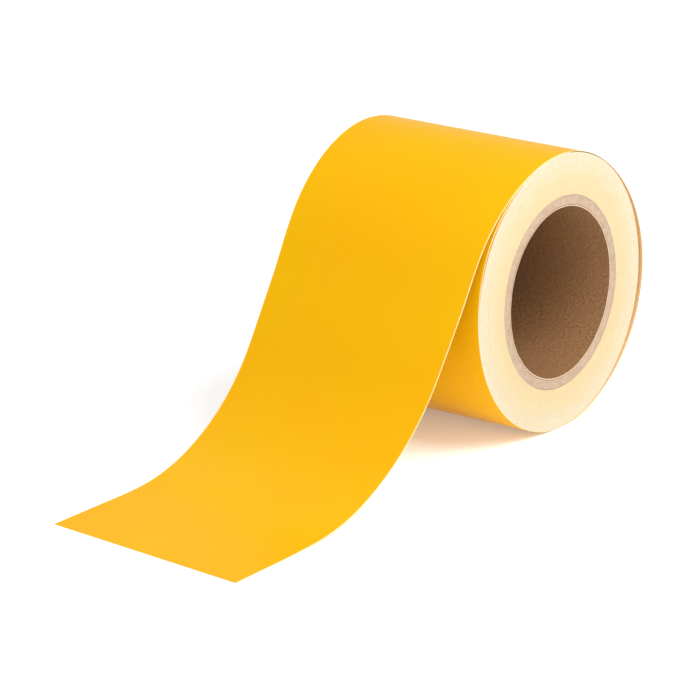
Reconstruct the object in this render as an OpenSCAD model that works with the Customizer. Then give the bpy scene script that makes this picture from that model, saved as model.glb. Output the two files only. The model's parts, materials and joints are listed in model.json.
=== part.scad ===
// Roll of sign vinyl on a paperboard core, standing on its outermost turn, with its free
// end arching down to the surface and lying flat there.
// The core's bore runs along Y and its centre is the origin. The free end points to -X.

/* [Web] */
// Width of the web, and length of the core
web_w = 101.6; // [25:0.1:150]
// Thickness of the vinyl film with its adhesive
film_t = 0.10; // [0.05:0.01:0.15]
// Thickness of the release liner under the film
liner_t = 0.13; // [0.05:0.01:0.15]

/* [Core] */
// Diameter of the core's bore
bore_d = 76.2; // [70:0.1:78]
// Thickness of the ply that lines the bore
inner_ply_t = 0.7; // [0.3:0.1:1]
// Number of plies between the inner and the outer one
body_plies = 4; // [1:1:5]
// Thickness of each of these plies
body_ply_t = 0.9; // [0.3:0.1:1]
// Thickness of the ply that the web is wound on
outer_ply_t = 0.6; // [0.3:0.1:1]
// Thickness of the tape that holds the first turn on the core
tape_t = 0.1; // [0.05:0.01:0.2]
// Part of the way round the core that this tape covers
tape_angle = 50; // [20:1:90]

/* [Roll] */
// Diameter over the outermost turn
roll_d = 124.3; // [110:0.1:150]
// Radial gap between the wound web and the outermost turn
turn_gap = 0.6; // [0.5:0.05:1]
// How far the outermost turn has sprung off the roll at its loosest place
standoff = 3; // [0:0.1:5]
// Where that place is, from +X
standoff_angle = -10; // [-10:1:10]
// Angle each side of that place over which it has sprung off
standoff_half = 68; // [30:1:70]
// Width of the flat that the roll stands on
foot_w = 12; // [6:0.5:14]

/* [Free end] */
// Place on the roll where the web leaves it, from +X
leave_angle = 104; // [90:1:110]
// Radius of the arch next to the roll
arch_r = 81; // [75:1:100]
// Steepest slope of the web below the horizontal
slope = 58; // [50:1:65]
// Radius of the sweep that brings the web down flat
sweep_r = 96; // [90:1:125]
// Length of web that lies flat before the tip
flat_len = 16; // [0:1:30]
// Number of straight panels that the web is made of, down to the tip
panels = 15; // [8:1:16]
// Length of the flat tip
tip_len = 36; // [30:1:60]
// Number of film panels that peel off the liner at the tip
peels = 3; // [1:1:4]
// Length of each of them
peel_len = 9; // [5:1:9]
// Gap between the ends of neighbouring panels
panel_gap = 0.12; // [0.1:0.01:0.2]

/* [Hidden] */
web_t = film_t + liner_t;

body_in_r = bore_d / 2 + inner_ply_t;
core_r = body_in_r + body_plies * body_ply_t + outer_ply_t;
wound_in_r = core_r + tape_t;
roll_r = roll_d / 2;
wound_r = roll_r - web_t - turn_gap;
floor_z = -sqrt(pow(roll_r, 2) - pow(foot_w / 2, 2));

// How far round the roll the outermost turn goes, and in how many flats.
turn_sweep = 335;
turn_steps = 67;

// Points on the middle of the web's thickness, where it changes its curve.
first_slope = leave_angle - 90;
leave_point = (roll_r - web_t / 2) * [cos(leave_angle), sin(leave_angle)];
arch_end = leave_point + arch_r * (curve(slope) - curve(first_slope));
sweep_drop = sweep_r * (1 - cos(slope));
fall_len = (arch_end.y - sweep_drop - floor_z - web_t / 2) / sin(slope);
fall_end = arch_end - fall_len * [cos(slope), sin(slope)];

arch_len = arch_r * (slope - first_slope) * PI / 180;
sweep_len = sweep_r * slope * PI / 180;
curved_len = arch_len + fall_len + sweep_len;
panel_len = (curved_len + flat_len) / panels;
tip_start = web_point(panels * panel_len);

film_color = [0.98, 0.74, 0.10];
liner_color = [0.96, 0.90, 0.76];
wound_color = [0.98, 0.92, 0.72];
board_color = [0.76, 0.63, 0.52];
bore_color = [0.45, 0.31, 0.20];
tape_color = [0.90, 0.88, 0.82];

// Where an arc of radius 1 gets to, seen from the front, when the web slopes down this much.
function curve(slope_down) = [-sin(slope_down), cos(slope_down)];

function arch_point(slope_down) = leave_point + arch_r * (curve(slope_down) - curve(first_slope));

function sweep_point(slope_down) = fall_end + sweep_r * (curve(slope) - curve(slope_down));

// The point that lies this far along the free end from the leaving place.
function web_point(run) =
    run < arch_len ? arch_point(first_slope + run / arch_r * 180 / PI)
    : run < arch_len + fall_len ? arch_end - (run - arch_len) * [cos(slope), sin(slope)]
    : run < curved_len ? sweep_point(slope - (run - arch_len - fall_len) / sweep_r * 180 / PI)
    : sweep_point(0) - [run - curved_len, 0];

// How far the outermost turn has sprung off the roll at this place round it.
function spring_off(angle) =
    let (off = angle - standoff_angle)
    abs(off) < standoff_half ? standoff * pow(cos(90 * off / standoff_half), 2) : 0;

// A point in the outermost turn, this deep under its outer surface, flattened where it stands.
function turn_point(angle, depth) =
    let (r = roll_r + spring_off(angle) - depth)
    [r * cos(angle), max(r * sin(angle), floor_z + depth)];

// Extrudes an outline, drawn as the roll is seen from the front, over the web's width.
module across_web() {
    rotate([90, 0, 0])
        linear_extrude(height = web_w, center = true)
            children();
}

module tube(inner_r, outer_r) {
    rotate([90, 0, 0])
        difference() {
            cylinder(h = web_w, r = outer_r, center = true, $fn = 180);
            cylinder(h = web_w + 2, r = inner_r, center = true, $fn = 180);
        }
}

// One layer of the outermost turn, between two depths under its outer surface.
module turn_layer(from_depth, to_depth) {
    angles = [for (i = [0:turn_steps]) leave_angle - turn_sweep * i / turn_steps];
    across_web()
        polygon(concat(
            [for (i = [0:turn_steps]) turn_point(angles[i], from_depth)],
            [for (i = [turn_steps:-1:0]) turn_point(angles[i], to_depth)]
        ));
}

// A straight strip between two points on the middle of the web's thickness. Its heights are
// from that middle, and positive on the film's side.
module strip(start, end, low, high) {
    run = end - start;
    across_web()
        translate(start)
            rotate(atan2(run.y, run.x))
                translate([panel_gap / 2, -high])
                    square([norm(run) - panel_gap, high - low]);
}

module film_strip(start, end) {
    color(film_color) strip(start, end, liner_t - web_t / 2, web_t / 2);
}

module liner_strip(start, end) {
    color(liner_color) strip(start, end, -web_t / 2, liner_t - web_t / 2);
}

module core_inner_ply() {
    color(bore_color) tube(bore_d / 2, body_in_r);
}

module core_body_ply(i) {
    inner_r = body_in_r + (i - 1) * body_ply_t;
    color(board_color) tube(inner_r, inner_r + body_ply_t);
}

module core_outer_ply() {
    color(board_color) tube(core_r - outer_ply_t, core_r);
}

module start_tape() {
    color(tape_color)
        rotate([90, 0, 0])
            rotate_extrude(angle = tape_angle, $fn = 180)
                translate([core_r, -web_w / 2])
                    square([tape_t, web_w]);
}

module wound_web() {
    color(wound_color) tube(wound_in_r, wound_r);
}

module outer_turn_film() {
    color(film_color) turn_layer(0, film_t);
}

module outer_turn_liner() {
    color(liner_color) turn_layer(film_t, web_t);
}

module web_film(i) {
    film_strip(web_point((i - 1) * panel_len), web_point(i * panel_len));
}

module web_liner(i) {
    liner_strip(web_point((i - 1) * panel_len), web_point(i * panel_len));
}

// The part of the flat end whose film stays on its liner.
module tip_film() {
    film_strip(tip_start, tip_start - [tip_len - peels * peel_len, 0]);
}

module tip_liner() {
    liner_strip(tip_start, tip_start - [tip_len, 0]);
}

module peel_film(i) {
    peel_start = tip_start - [tip_len - (peels - i + 1) * peel_len, 0];
    film_strip(peel_start, peel_start - [peel_len, 0]);
}

core_inner_ply();
for (i = [1:body_plies])
    core_body_ply(i);
core_outer_ply();
start_tape();
wound_web();
outer_turn_film();
outer_turn_liner();
for (i = [1:panels]) {
    web_film(i);
    web_liner(i);
}
tip_film();
tip_liner();
for (i = [1:peels])
    peel_film(i);
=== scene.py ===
"""Looks of the roll of sign vinyl: a glossy film on its liner, wound on a paperboard core.

All sizes are metres in the row frame. The roll's axis is Y, and its free end points to -X.
"""

import json
import math

import bpy
import numpy as np
from mathutils import Matrix, Vector


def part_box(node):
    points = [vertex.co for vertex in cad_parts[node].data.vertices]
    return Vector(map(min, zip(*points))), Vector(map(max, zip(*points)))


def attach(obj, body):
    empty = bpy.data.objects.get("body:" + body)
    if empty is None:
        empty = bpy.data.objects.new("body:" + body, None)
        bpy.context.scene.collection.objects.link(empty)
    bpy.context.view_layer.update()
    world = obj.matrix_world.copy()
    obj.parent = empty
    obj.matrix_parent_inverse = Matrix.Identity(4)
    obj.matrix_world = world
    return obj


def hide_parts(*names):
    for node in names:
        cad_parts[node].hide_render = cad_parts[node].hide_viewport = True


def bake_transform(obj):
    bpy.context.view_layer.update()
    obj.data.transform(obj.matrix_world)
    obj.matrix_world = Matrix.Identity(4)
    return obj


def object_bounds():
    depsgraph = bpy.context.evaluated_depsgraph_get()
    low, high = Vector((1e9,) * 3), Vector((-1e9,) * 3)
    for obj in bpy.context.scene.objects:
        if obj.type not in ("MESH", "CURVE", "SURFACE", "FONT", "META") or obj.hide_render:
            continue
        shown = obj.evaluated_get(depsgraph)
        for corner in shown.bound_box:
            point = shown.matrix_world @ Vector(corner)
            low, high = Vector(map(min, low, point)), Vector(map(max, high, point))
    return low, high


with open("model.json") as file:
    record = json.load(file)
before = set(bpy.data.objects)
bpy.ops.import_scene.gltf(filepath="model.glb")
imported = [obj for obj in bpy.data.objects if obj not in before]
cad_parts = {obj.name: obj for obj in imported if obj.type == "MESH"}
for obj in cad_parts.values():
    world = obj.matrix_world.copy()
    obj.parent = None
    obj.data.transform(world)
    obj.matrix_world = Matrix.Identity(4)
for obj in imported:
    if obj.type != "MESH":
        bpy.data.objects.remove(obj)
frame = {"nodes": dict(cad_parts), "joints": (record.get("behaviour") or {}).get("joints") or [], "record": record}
cad_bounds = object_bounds()
joints = {joint["name"]: joint for joint in frame["joints"]}
TAU = 2 * math.pi
MM = 0.001


# ---------------------------------------------------------------- sizes from the frame

def outer_radius(node):
    """Outer radius of a ring node."""
    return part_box(node)[1].x


def thickness(node):
    """Thickness of a flat node that lies on the surface."""
    low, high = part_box(node)
    return high.z - low.z


turn_low, turn_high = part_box("outer_turn_film")
FLOOR_Z = turn_low.z
ROLL_R = -turn_low.x
HALF_W = turn_high.y
FILM_T = thickness("tip_film")
LINER_T = thickness("tip_liner")
WEB_T = FILM_T + LINER_T

BORE_R = frame["record"]["mounts"][0]["dims"]["r_mm"] * MM
PLY_NODES = ["core_inner_ply"] + [f"core_body_ply_{i}" for i in range(1, 5)] + ["core_outer_ply"]
TAPE_R = outer_radius("start_tape")

BENDS = sorted((n for n in joints if n.startswith("web_bend_")), key=lambda n: int(n.split("_")[-1]))
PEELS = sorted(n for n in joints if n.startswith("film_peel"))
TIP_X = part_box("tip_liner")[0].x


# ---------------------------------------------------------------- sizes of the visible web

# How far the outermost turn has sprung off the roll at its loosest place, where that is round
# the roll, and the angle each side of it over which it has sprung off. part.scad has the same.
STANDOFF = 3.0 * MM
STANDOFF_AT = math.radians(-10)
STANDOFF_HALF = math.radians(68)

# The turn's inner end is a little loose too, under the place where the free end leaves. TUCK is
# how far it runs on past that place.
LOOSE = 0.9 * MM
LOOSE_AT = math.radians(-214)
LOOSE_HALF = math.radians(44)
TUCK = math.radians(20)

# The CAD solids keep a gap between the turn and the wound layers. Here the turn hugs them up to
# the first of these places round it, and has the CAD turn's radius from the second.
PACK_R = -FLOOR_Z - WEB_T - 0.08 * MM
HUG_R = PACK_R + WEB_T + 0.03 * MM
HUG_TO = math.radians(-110)
CAD_FROM = math.radians(-50)

# The film is cut a little narrower than its liner, and lies this far off it.
FILM_MARGIN = 0.30 * MM
LAYER_GAP = 0.012 * MM

# The free end is twisted a little: its far edge stands higher where it arches off the roll,
# and its near edge is higher where it sweeps down. Each is a smooth swell along that edge: its
# height, its middle's distance from the leaving place, and half its length.
FAR_SWELL = (4.0 * MM, 8 * MM, 75 * MM)
NEAR_SWELL = (3.6 * MM, 150 * MM, 85 * MM)
# The tip is cut askew, and is longer at the near edge by this much.
SKEW = 5.9 * MM

# The wound layers' edges lie this far inside the web's width. They drift in and out slowly by
# up to PACK_WANDER, and each turn lies up to that much further in.
PACK_INSET = 0.06 * MM
PACK_WANDER = 0.05 * MM

# The spiral seam in the paper that lines the bore: its pitch, and where in a turn it starts.
SEAM_PITCH = 420 * MM
SEAM_TURN = 0.1


# ---------------------------------------------------------------- the line that the web follows

def joint_point(name):
    """Where a joint's axis crosses the plane of the line: x and z."""
    x, _, z = joints[name]["pos_m"]
    return np.array([x, z])


def swell(at, height, centre, half):
    """A smooth rise to that height and back to nothing, over half on each side of the centre."""
    off = np.clip((at - centre) / half, -1, 1)
    return height * np.cos(off * math.pi / 2) ** 2


def ease(part):
    """A smooth step from 0 to 1."""
    part = np.clip(part, 0, 1)
    return part**2 * (3 - 2 * part)


def turn_line(step=math.radians(0.5)):
    """The outermost turn's middle line, from its tucked inner end to the place where it leaves."""
    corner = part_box("web_film_1")[1]
    leave = math.atan2(corner.z, corner.x)
    angle = np.append(np.arange(leave - TAU - TUCK, leave, step), leave)
    sprung = swell(angle, STANDOFF, STANDOFF_AT, STANDOFF_HALF)
    sprung += swell(angle, LOOSE, LOOSE_AT, LOOSE_HALF)
    outer = HUG_R + (ROLL_R - HUG_R) * ease((angle - HUG_TO) / (CAD_FROM - HUG_TO)) + sprung
    radius = outer - WEB_T / 2
    return np.stack([radius * np.cos(angle), radius * np.sin(angle)], 1)


def free_line(start, step=0.25 * MM):
    """A smooth curve from the leaving place through every bend to the flat tip."""
    knots = np.array([start] + [joint_point(name) for name in BENDS])
    chord = np.append(0, np.cumsum(np.linalg.norm(np.diff(knots, axis=0), axis=1)))
    heading = np.array([-start[1], start[0]]) / np.linalg.norm(start)
    slopes = spline_slopes(chord, knots, heading, np.array([-1.0, 0.0]))
    fine = np.arange(0, chord[-1], step)
    return spline_points(chord, knots, slopes, fine)


def spline_slopes(at, points, first, last):
    """Slopes at the knots that make a cubic spline with no jump in its curvature."""
    count = len(at)
    gap = np.diff(at)
    system = np.eye(count)
    right = np.zeros((count, 2))
    right[0], right[-1] = first, last
    for k in range(1, count - 1):
        system[k, k - 1 : k + 2] = [gap[k], 2 * (gap[k - 1] + gap[k]), gap[k - 1]]
        before = (points[k] - points[k - 1]) / gap[k - 1]
        after = (points[k + 1] - points[k]) / gap[k]
        right[k] = 3 * (gap[k] * before + gap[k - 1] * after)
    return np.linalg.solve(system, right)


def spline_points(at, points, slopes, where):
    """Points on that spline."""
    k = np.clip(np.searchsorted(at, where, side="right") - 1, 0, len(at) - 2)
    gap = (at[k + 1] - at[k])[:, None]
    t = (where - at[k])[:, None] / gap
    return (
        (2 * t**3 - 3 * t**2 + 1) * points[k]
        + (t**3 - 2 * t**2 + t) * gap * slopes[k]
        + (3 * t**2 - 2 * t**3) * points[k + 1]
        + (t**3 - t**2) * gap * slopes[k + 1]
    )


def web_line():
    """The whole middle line, from its tucked inner end to the tip, and which of its points is
    the place where it leaves the roll."""
    turn = turn_line()
    hinge_x, hinge_z = joint_point(BENDS[-1])
    flat = np.stack([np.linspace(hinge_x, TIP_X, 40), np.full(40, hinge_z)], 1)
    return np.concatenate([turn[:-1], free_line(turn[-1]), flat]), len(turn) - 1


LINE, LEAVE = web_line()
RUN = np.append(0, np.cumsum(np.linalg.norm(np.diff(LINE, axis=0), axis=1)))
HEADING = np.gradient(LINE, RUN, axis=0)
HEADING /= np.linalg.norm(HEADING, axis=1)[:, None]


def run_at(point):
    """How far along the web a point on its free end is."""
    near = np.argmin(np.linalg.norm(LINE[LEAVE:] - point, axis=1))
    return RUN[LEAVE + near]


def seams_between(names):
    """Places along the web where neighbouring pieces meet: halfway between the joints."""
    runs = [run_at(joint_point(name)) for name in names]
    first = runs[0] - (runs[1] - runs[0]) / 2
    last = (runs[-1] + END_RUN) / 2
    return [first] + [(a + b) / 2 for a, b in zip(runs, runs[1:])] + [last]


LEAVE_RUN = RUN[LEAVE]
END_RUN = RUN[-1] - SKEW / 2
SEAMS = seams_between(BENDS + PEELS)


def line_at(run):
    """Points on the web's middle line, and the directions from there to its film side."""
    point = np.stack([np.interp(run, RUN, LINE[:, i]) for i in (0, 1)], -1)
    heading = np.stack([np.interp(run, RUN, HEADING[:, i]) for i in (0, 1)], -1)
    heading /= np.linalg.norm(heading, axis=-1, keepdims=True)
    return point, np.stack([heading[..., 1], -heading[..., 0]], -1)


# ---------------------------------------------------------------- meshes

def new_piece(name, verts, faces, materials, face_materials=None, web_uv=None, sharp=40):
    """A mesh object, smooth except at edges sharper than that angle. web_uv is metres of web."""
    mesh = bpy.data.meshes.new(name)
    mesh.from_pydata([tuple(v) for v in verts], [], faces)
    for material in materials:
        mesh.materials.append(material)
    if face_materials is not None:
        mesh.polygons.foreach_set("material_index", face_materials)
    if web_uv is not None:
        layer = mesh.uv_layers.new(name="web")
        corners = np.empty(len(mesh.loops), np.int32)
        mesh.loops.foreach_get("vertex_index", corners)
        layer.data.foreach_set("uv", np.asarray(web_uv, np.float32)[corners].ravel())
    mesh.shade_smooth()
    mesh.set_sharp_from_angle(angle=math.radians(sharp))
    mesh.update()
    piece = bpy.data.objects.new(name, mesh)
    bpy.context.scene.collection.objects.link(piece)
    return piece


def stations(start, end, step=1.2 * MM, seam=0.05 * MM):
    """Places along a strip, with one close to each end so that its shading runs on."""
    count = max(2, math.ceil((end - start) / step))
    inner = np.linspace(start, end, count + 1)
    return np.unique(np.concatenate([inner, [start + seam, end - seam]]))


def on_web(run, y, height):
    """Points that high above the middle of the web, on its film side, and their web coordinates.
    The tip is askew, and the free end is twisted: far is 0 at its near edge and 1 at its far one."""
    near_tip = np.clip((run - SEAMS[-1]) / (END_RUN - SEAMS[-1]), 0, 1)
    run = run - near_tip * y * SKEW / (2 * HALF_W)
    point, out = line_at(run)
    far = y / (2 * HALF_W) + 0.5
    past = run - LEAVE_RUN
    height = height + swell(past, *FAR_SWELL) * far + swell(past, *NEAR_SWELL) * (1 - far)
    x, z = np.moveaxis(point + out * height[..., None], -1, 0)
    return np.stack([x, y, z], -1), np.stack([run, y], -1)


def strip(name, start, end, low, high, half_width, materials, columns=14):
    """A thin closed strip of web between two places along it. low and high are heights from the
    middle of the web, on its film side. materials are those of the film side and the other."""
    across = np.linspace(-half_width, half_width, columns + 1)
    loop_y = np.concatenate([across, across[::-1]])
    loop_h = np.concatenate([np.full(columns + 1, high), np.full(columns + 1, low)])
    loop = len(loop_y)
    run, y = np.meshgrid(stations(start, end), loop_y, indexing="ij")
    verts, uv = on_web(run, y, loop_h)
    faces, sides = [], []
    last = len(run) - 1
    for i in range(last):
        for j in range(loop):
            k = (j + 1) % loop
            faces.append((i * loop + j, i * loop + k, (i + 1) * loop + k, (i + 1) * loop + j))
            sides.append(1 if columns < j < loop - 1 else 0)
    for i, flip in ((0, True), (last, False)):
        for j in range(columns):
            cap = [i * loop + n for n in (j, j + 1, loop - 2 - j, loop - 1 - j)]
            faces.append(cap[::-1] if flip else cap)
            sides.append(0)
    return new_piece(name, verts.reshape(-1, 3), faces, materials, sides, uv.reshape(-1, 2))


def ripple(angle, waves, seed):
    """A smooth random wave round the circle, within 1 each way."""
    random = np.random.default_rng(seed)
    phases = random.uniform(0, TAU, len(waves))
    return sum(np.sin(n * angle + p) for n, p in zip(waves, phases)) / len(waves)


def ring(name, radius, along, segment_materials, materials, ragged=0.0, seed=0, steps=240):
    """A closed ring about Y from its outline's radii and places along Y. ragged is how far its
    end edges wander in and out."""
    angle = np.linspace(0, TAU, steps, endpoint=False)[:, None]
    radius, along = np.asarray(radius), np.asarray(along)
    count = len(along)
    wander = ragged * np.concatenate([ripple(angle, (3, 7, 16, 31), seed + (y > 0)) for y in along], 1)
    verts = np.stack([np.cos(angle) * radius, along + wander, np.sin(angle) * radius], -1)
    uv = np.stack(np.broadcast_arrays(angle * radius, along), -1)
    faces, sides = [], []
    for i in range(steps):
        after = (i + 1) % steps
        for j in range(count):
            k = (j + 1) % count
            faces.append((i * count + j, i * count + k, after * count + k, after * count + j))
            sides.append(segment_materials[j])
    return new_piece(name, verts.reshape(-1, 3), faces, materials, sides, uv.reshape(-1, 2), sharp=50)


# ---------------------------------------------------------------- materials

class Look:
    """The node material of one finish, built by short calls."""

    def __init__(self, name, **sockets):
        self.material = bpy.data.materials.new(name)
        self.material.use_nodes = True
        self.tree = self.material.node_tree
        self.shader = self.tree.nodes["Principled BSDF"]
        for socket, value in sockets.items():
            self.shader.inputs[socket.replace("_", " ")].default_value = value

    def node(self, kind, inputs=(), output=0, **settings):
        made = self.tree.nodes.new("ShaderNode" + kind)
        for key, value in settings.items():
            setattr(made, key, value)
        for key, value in dict(inputs).items():
            if isinstance(value, bpy.types.NodeSocket):
                self.tree.links.new(value, made.inputs[key])
            else:
                made.inputs[key].default_value = value
        return made.outputs[output]

    def web(self):
        """Metres along the web and across it."""
        return self.node("UVMap", uv_map="web")

    def place(self):
        """The piece's own coordinates, in metres."""
        return self.node("TexCoord", output="Object")

    def stretched(self, vector, x, y, z=1.0):
        return self.node("Mapping", {"Vector": vector, "Scale": (x, y, z)})

    def noise(self, vector, scale, detail=3.0, roughness=0.5):
        inputs = {"Vector": vector, "Scale": scale, "Detail": detail, "Roughness": roughness}
        return self.node("TexNoise", inputs)

    def math(self, operation, a, b=0.0):
        return self.node("Math", {0: a, 1: b}, operation=operation)

    def axis(self, vector, number):
        """One coordinate of a vector: 0 is x, 1 is y and 2 is z."""
        return self.node("SeparateXYZ", {0: vector}, output=number)

    def between(self, value, low, high, to_low=0.0, to_high=1.0):
        """A value that goes smoothly from to_low at low to to_high at high."""
        inputs = {"Value": value, "From Min": low, "From Max": high, "To Min": to_low, "To Max": to_high}
        return self.node("MapRange", inputs, interpolation_type="SMOOTHSTEP")

    def mix(self, factor, a, b):
        """Mix of two colours. A plain colour is three linear numbers."""
        colours = [(*x, 1.0) if isinstance(x, tuple) else x for x in (a, b)]
        inputs = {0: factor, 6: colours[0], 7: colours[1]}
        return self.node("Mix", inputs, output=2, data_type="RGBA")

    def bump(self, height, distance, strength=1.0, under=None):
        inputs = {"Height": height, "Distance": distance, "Strength": strength}
        if under is not None:
            inputs["Normal"] = under
        return self.node("Bump", inputs)

    def finish(self, colour, roughness=None, normal=None):
        self.tree.links.new(colour, self.shader.inputs["Base Color"])
        if roughness is not None:
            self.tree.links.new(roughness, self.shader.inputs["Roughness"])
        if normal is not None:
            self.tree.links.new(normal, self.shader.inputs["Normal"])
        return self.material


def linear(red, green, blue):
    """Linear colour from 0 to 255 display values."""
    return tuple(c / 12.92 if c <= 0.04045 else ((c + 0.055) / 1.055) ** 2.4
                 for c in (red / 255, green / 255, blue / 255))


def film_material():
    """Calendered vinyl: a deep even yellow, with faint streaks along it, and pale edges that are a painted
    highlight, broken up by noise.
    """
    look = Look("vinyl", Specular_IOR_Level=0.04)
    web = look.web()
    cloud = look.noise(web, 14, 2)
    streak = look.noise(look.stretched(web, 9, 420), 1, 3)
    colour = look.mix(look.between(cloud, 0.3, 0.7), linear(222, 162, 10), linear(219, 166, 8))
    colour = look.mix(look.between(streak, 0.35, 0.75, 0, 0.2), colour, linear(214, 159, 10))
    across = look.axis(web, 1)
    # Painted highlight: the film is paler in a narrow band along each edge, broken up by noise, for the bright
    # line where light catches the edge.
    edge = look.between(look.math("ABSOLUTE", across), HALF_W - 1.0 * MM, HALF_W - 0.2 * MM)
    highlight_breakup = look.noise(look.stretched(web, 900, 300), 1, 2)
    painted_edge_highlight = look.math("MULTIPLY", edge, look.between(highlight_breakup, 0.45, 0.7, 0, 0.6))
    colour = look.mix(painted_edge_highlight, colour, linear(236, 198, 84))
    roughness = look.between(streak, 0.2, 0.8, 0.26, 0.30)
    peel = look.noise(web, 1100, 2)
    wave = look.noise(look.stretched(web, 22, 16), 1, 1)
    normal = look.bump(peel, 0.004 * MM, 0.5)
    normal = look.bump(wave, 0.35 * MM, 0.5, under=normal)
    return look.finish(colour, roughness, normal)


def adhesive_material():
    """The film's tacky back: a paler yellow through a wet-looking layer."""
    look = Look("adhesive_back", Specular_IOR_Level=0.5)
    web = look.web()
    grain = look.noise(web, 500, 4)
    colour = look.mix(grain, linear(236, 205, 122), linear(222, 184, 92))
    roughness = look.between(grain, 0.3, 0.7, 0.18, 0.34)
    return look.finish(colour, roughness, look.bump(grain, 0.02 * MM, 0.5))


def liner_material():
    """Siliconised liner paper."""
    look = Look("liner_paper", Specular_IOR_Level=0.35)
    web = look.web()
    fibre = look.noise(look.stretched(web, 700, 260), 1, 5, 0.6)
    cloud = look.noise(web, 60, 3)
    colour = look.mix(look.between(cloud, 0.3, 0.7), linear(240, 216, 160), linear(244, 226, 180))
    colour = look.mix(look.between(fibre, 0.5, 0.8, 0, 0.35), colour, linear(222, 190, 140))
    roughness = look.between(fibre, 0.2, 0.8, 0.42, 0.6)
    return look.finish(colour, roughness, look.bump(fibre, 0.03 * MM, 0.4))


def liner_back_material():
    """The liner's uncoated side, which is plain tan paper; its colour is painted warmer and brighter than that, a
    painted glow for light coming through the yellow film.
    """
    look = Look("liner_back", Specular_IOR_Level=0.25)
    web = look.web()
    fibre = look.noise(look.stretched(web, 500, 320), 1, 6, 0.65)
    # Partly painted light: these tans are warmer and brighter than plain paper, to stand in for light shining
    # through the yellow film onto the liner's back.
    colour = look.mix(look.between(fibre, 0.35, 0.7), linear(240, 203, 147), linear(230, 191, 134))
    roughness = look.between(fibre, 0.2, 0.8, 0.62, 0.8)
    return look.finish(colour, roughness, look.bump(fibre, 0.04 * MM, 0.6))


def layers_material():
    """Cut edges of the wound web: a spiral of liner and film, seen as cream with yellow in it."""
    look = Look("wound_edges", Specular_IOR_Level=0.2)
    place = look.place()
    x = look.axis(place, 0)
    z = look.axis(place, 2)
    squares = look.math("ADD", look.math("MULTIPLY", x, x), look.math("MULTIPLY", z, z))
    radius = look.math("SQRT", squares)
    part_turn = look.math("DIVIDE", look.math("ARCTAN2", z, x), TAU)
    wound = look.math("SUBTRACT", look.math("DIVIDE", radius, WEB_T), part_turn)
    turn_number = look.math("FLOOR", wound)
    along = look.math("ADD", turn_number, part_turn)
    layer = look.node("TexNoise", {"W": along, "Scale": 7.0, "Detail": 2.0}, noise_dimensions="1D")
    within = look.math("FRACT", wound)
    film_edge = look.between(within, 0.52, 0.62)
    mottle = look.noise(place, 1100, 3, 0.6)
    cloud = look.noise(place, 95, 3, 0.55)
    clouded = look.math("ADD", radius, look.math("MULTIPLY", cloud, 8 * MM))
    outward = look.between(clouded, 50 * MM, 66 * MM)
    cream = look.mix(outward, linear(196, 179, 141), linear(197, 189, 169))
    cream = look.mix(look.between(layer, 0.35, 0.7, 0, 0.35), cream, linear(194, 176, 138))
    cream = look.mix(look.between(mottle, 0.45, 0.7, 0, 0.55), cream, linear(188, 168, 126))
    colour = look.mix(look.math("MULTIPLY", film_edge, 0.15), cream, linear(202, 160, 76))
    height = look.math("ADD", look.math("MULTIPLY", layer, 0.6), look.math("MULTIPLY", mottle, 0.4))
    roughness = look.between(mottle, 0.3, 0.7, 0.6, 0.75)
    return look.finish(colour, roughness, look.bump(height, 0.08 * MM, 0.5))


def board_material(name, light, dark):
    """A ply of core board, seen at its cut end: pressed fibres with clumps and dark specks."""
    look = Look(name, Specular_IOR_Level=0.2)
    place = look.place()
    fibre = look.noise(place, 900, 5, 0.65)
    clump = look.noise(place, 240, 3)
    speck = look.noise(place, 1500, 2)
    colour = look.mix(look.between(fibre, 0.3, 0.7), light, dark)
    colour = look.mix(look.between(clump, 0.4, 0.75, 0, 0.35), colour, linear(150, 124, 104))
    colour = look.mix(look.between(speck, 0.68, 0.76, 0, 0.6), colour, linear(104, 80, 62))
    roughness = look.between(fibre, 0.2, 0.8, 0.75, 0.92)
    return look.finish(colour, roughness, look.bump(fibre, 0.09 * MM, 0.8))


def bore_material():
    """Brown kraft paper inside the core, with fibres, dark specks and its spiral seam."""
    look = Look("bore_kraft_paper", Specular_IOR_Level=0.25)
    place = look.place()
    web = look.web()
    fibre = look.noise(look.stretched(web, 850, 700), 1, 7, 0.72)
    cloud = look.noise(place, 130, 3)
    speck = look.noise(place, 800, 2)
    colour = look.mix(look.between(fibre, 0.32, 0.7), linear(142, 103, 66), linear(103, 72, 42))
    colour = look.mix(look.between(cloud, 0.35, 0.7, 0, 0.5), colour, linear(128, 90, 57))
    colour = look.mix(look.between(speck, 0.66, 0.74, 0, 0.7), colour, linear(78, 50, 31))
    round_bore = look.math("DIVIDE", look.axis(web, 0), TAU * BORE_R)
    helix = look.math("ADD", round_bore, look.math("DIVIDE", look.axis(web, 1), SEAM_PITCH))
    part_turn = look.math("FRACT", look.math("ADD", helix, SEAM_TURN))
    off_seam = look.math("ABSOLUTE", look.math("SUBTRACT", part_turn, 0.5))
    seam = look.between(off_seam, 0.0, 0.0035, 1, 0)
    colour = look.mix(look.math("MULTIPLY", seam, 0.55), colour, linear(84, 55, 35))
    roughness = look.between(fibre, 0.2, 0.8, 0.7, 0.88)
    height = look.math("SUBTRACT", fibre, look.math("MULTIPLY", seam, 0.8))
    return look.finish(colour, roughness, look.bump(height, 0.07 * MM, 0.7))


def tape_material():
    """Paper tape that holds the first turn on the core."""
    look = Look("paper_tape", Specular_IOR_Level=0.3)
    place = look.place()
    crepe = look.noise(look.stretched(place, 300, 2200, 300), 1, 3)
    colour = look.mix(crepe, linear(232, 222, 200), linear(214, 200, 172))
    roughness = look.between(crepe, 0.3, 0.7, 0.6, 0.75)
    return look.finish(colour, roughness, look.bump(crepe, 0.03 * MM, 0.6))


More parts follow.
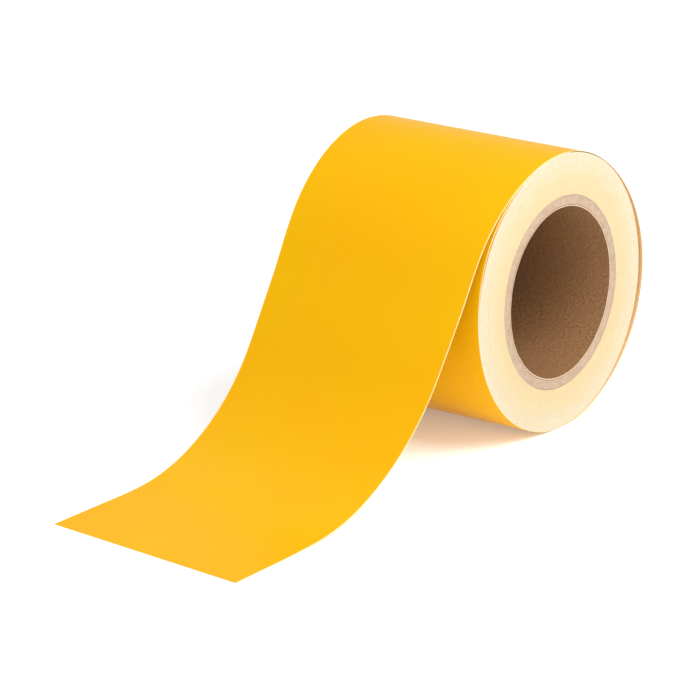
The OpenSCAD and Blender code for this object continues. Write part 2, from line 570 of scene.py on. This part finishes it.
def floor_material():
    """Pale seamless paper, lit a little from below as a light table is."""
    look = Look("studio_paper", Specular_IOR_Level=0.1, Roughness=0.8,
                Emission_Color=(1, 1, 1, 1), Emission_Strength=0.2)
    tooth = look.noise(look.place(), 400, 3)
    colour = look.mix(tooth, (0.92, 0.92, 0.92), (0.94, 0.94, 0.94))
    return look.finish(colour)


vinyl = film_material()
adhesive = adhesive_material()
liner_face = liner_material()
liner_back = liner_back_material()
layers = layers_material()
bore_paper = bore_material()
board = board_material("core_board_cut", linear(181, 158, 136), linear(167, 143, 120))
board_light = board_material("core_board_inner", linear(212, 190, 162), linear(200, 176, 148))
glue_line = board_material("core_glue_line", linear(138, 110, 88), linear(124, 97, 76))
board_grey = board_material("core_board_outer", linear(173, 153, 135), linear(161, 141, 122))


# ---------------------------------------------------------------- pieces: the web

def bend(piece, joint, start, end):
    """Bakes the piece's transform into its mesh; it does not bend it. For a peel joint the start moves to the
    joint, and the points at the start and end on the line and the joint's record are looked up, but none of them
    is used.
    """
    if joint in PEELS:
        start = run_at(joint_point(joint))
    (x0, z0), (x1, z1) = line_at(np.array([start, end]))[0]
    joint = joints[joint]
    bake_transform(piece)


def build_layer(prefix, nodes, hinges, heights, half_width, materials):
    """One layer of the web: the outermost turn, a strip across each joint, and its end."""
    pieces = [strip(prefix + "_turn", 0, SEAMS[0], *heights, half_width, materials)]
    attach(pieces[0], "outer_turn")
    for i, joint in enumerate(hinges):
        start, end = SEAMS[i], SEAMS[i + 1]
        piece = strip(f"{prefix}_bend_{i + 1}", start, end, *heights, half_width, materials)
        bend(piece, joint, start, end)
        pieces.append(piece)
    pieces.append(strip(prefix + "_end", SEAMS[len(hinges)], END_RUN, *heights, half_width, materials))
    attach(pieces[-1], joints[hinges[-1]]["child"])
    for piece, node in zip(pieces, nodes, strict=True):
        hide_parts(node)


def build_web():
    """The film and the liner, from the outermost turn to the tip."""
    panels = range(1, len(BENDS) + 1)
    film_nodes = ["outer_turn_film"] + [f"web_film_{i}" for i in panels] + ["tip_film"]
    film_nodes += [f"peel_film_{i + 1}" for i in range(len(PEELS))]
    liner_nodes = ["outer_turn_liner"] + [f"web_liner_{i}" for i in panels] + ["tip_liner"]
    film_heights = (WEB_T / 2 - FILM_T, WEB_T / 2)
    liner_heights = (-WEB_T / 2, LINER_T - WEB_T / 2 - LAYER_GAP)
    build_layer("vinyl", film_nodes, BENDS + PEELS, film_heights,
                HALF_W - FILM_MARGIN, [vinyl, adhesive])
    build_layer("backing", liner_nodes, BENDS, liner_heights,
                HALF_W, [liner_face, liner_back])


# ---------------------------------------------------------------- pieces: the roll

def build_pack():
    """The wound web: one small step in or out for each turn, as a slit roll has. Its outline
    goes out over the near end, along the film outside, in over the far end, and back along the
    liner inside."""
    random = np.random.default_rng(4)
    turns = round((PACK_R - TAPE_R) / WEB_T)
    edge = np.linspace(TAPE_R, PACK_R, turns + 1)
    radius, along, sides = [], [], []
    for end in (-1, 1):
        drift = PACK_WANDER * np.sin(np.linspace(0, 9, turns) + random.uniform(0, TAU))
        inset = PACK_INSET + drift + random.uniform(0, PACK_WANDER, turns)
        order = range(turns) if end < 0 else range(turns - 1, -1, -1)
        for k in order:
            pair = (edge[k], edge[k + 1]) if end < 0 else (edge[k + 1], edge[k])
            radius += pair
            along += [end * (HALF_W - inset[k])] * 2
            sides += [0, 0]
        sides[-1] = 1 if end < 0 else 2
    pack = ring("wound_pack", radius, along, sides, [layers, vinyl, liner_back])
    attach(pack, "wound_roll")
    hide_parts("wound_web")


def build_core():
    """Plies of board, each a little proud of or short of its neighbours. A line of glue runs
    round the outside of the first, which lines the bore."""
    insets = [0.16, 0.28, 0.24, 0.27, 0.22, 0.17]
    cuts = [board_light] + [board] * 4 + [board_grey]
    bevel = 0.06 * MM
    inner = BORE_R
    for i, (node, inset, cut) in enumerate(zip(PLY_NODES, insets, cuts, strict=True)):
        lining = i == 0
        outer = outer_radius(node)
        groove = 0.32 * MM if lining else bevel
        half = HALF_W - inset * MM
        radius = [inner, inner + bevel, outer - groove, outer]
        along = [bevel - half, -half, -half, bevel - half]
        materials = [cut, bore_paper, glue_line] if lining else [cut, cut, cut]
        ply = ring(
            f"core_ply_{i + 1}",
            radius + radius[::-1],
            along + [-y for y in along[::-1]],
            [0, 0, 2, 0, 2, 0, 0, 1],
            materials,
            ragged=0.10 * MM if lining else 0.05 * MM,
            seed=10 * i,
        )
        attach(ply, "wound_roll")
        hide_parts(node)
        inner = outer


def build_tape():
    """The start tape keeps its CAD mesh."""
    tape = frame["nodes"]["start_tape"].data
    tape.materials.clear()
    tape.materials.append(tape_material())


def build_stage():
    """The floor, just under the roll."""
    half = 4.0
    z = FLOOR_Z - 0.03 * MM
    corners = [(-half, -half, z), (half, -half, z), (half, half, z), (-half, half, z)]
    floor = new_piece("floor", corners, [(0, 1, 2, 3)], [floor_material()])


# ---------------------------------------------------------------- light and camera

def soft_box(name, toward, size, power, distance=1.4):
    """A square area light in that direction from the object's middle, which it faces."""
    aim = (cad_bounds[0] + cad_bounds[1]) / 2
    data = bpy.data.lights.new(name, "AREA")
    data.shape = "SQUARE"
    data.size = size
    data.energy = power
    lamp = bpy.data.objects.new(name, data)
    direction = Vector(toward).normalized()
    lamp.location = aim + direction * distance
    lamp.rotation_mode = "QUATERNION"
    lamp.rotation_quaternion = direction.to_track_quat("Z", "Y")
    bpy.context.scene.collection.objects.link(lamp)


def light_scene():
    """A white world and three soft boxes."""
    world = bpy.data.worlds.new("studio")
    world.use_nodes = True
    background = world.node_tree.nodes["Background"]
    background.inputs["Color"].default_value = (1, 1, 1, 1)
    background.inputs["Strength"].default_value = 0.6
    bpy.context.scene.world = world
    bpy.context.scene.view_settings.view_transform = "Standard"
    soft_box("key", (0.2, -0.78, 0.8), size=1.0, power=21.0)
    soft_box("fill", (-0.92, -0.46, 0.35), size=0.9, power=7.0)
    soft_box("back", (0.2, 1.0, 0.4), size=0.9, power=6.0)


def place_camera():
    """The camera at the photo's place: azimuth from the front, elevation, and a slight roll."""
    azimuth, elevation, roll = (math.radians(a) for a in (-51.74, 17.775, -1.09))
    target = Vector((-0.0848, 0.0, -0.01306))
    distance = 1.3
    back = Vector((
        math.sin(azimuth) * math.cos(elevation),
        -math.cos(azimuth) * math.cos(elevation),
        math.sin(elevation),
    ))
    level = Vector((math.cos(azimuth), math.sin(azimuth), 0))
    right = level * math.cos(roll) + back.cross(level) * math.sin(roll)
    up = back.cross(right)
    camera = bpy.data.objects.new("camera", bpy.data.cameras.new("camera"))
    camera.data.lens = 157.44
    camera.data.sensor_width = 36.0
    camera.data.clip_start = 0.05
    camera.matrix_world = Matrix.Translation(target + back * distance) @ Matrix(
        (right, up, back)
    ).transposed().to_4x4()
    bpy.context.scene.collection.objects.link(camera)
    bpy.context.scene.camera = camera


build_web()
build_pack()
build_core()
build_tape()
build_stage()
light_scene()
place_camera()
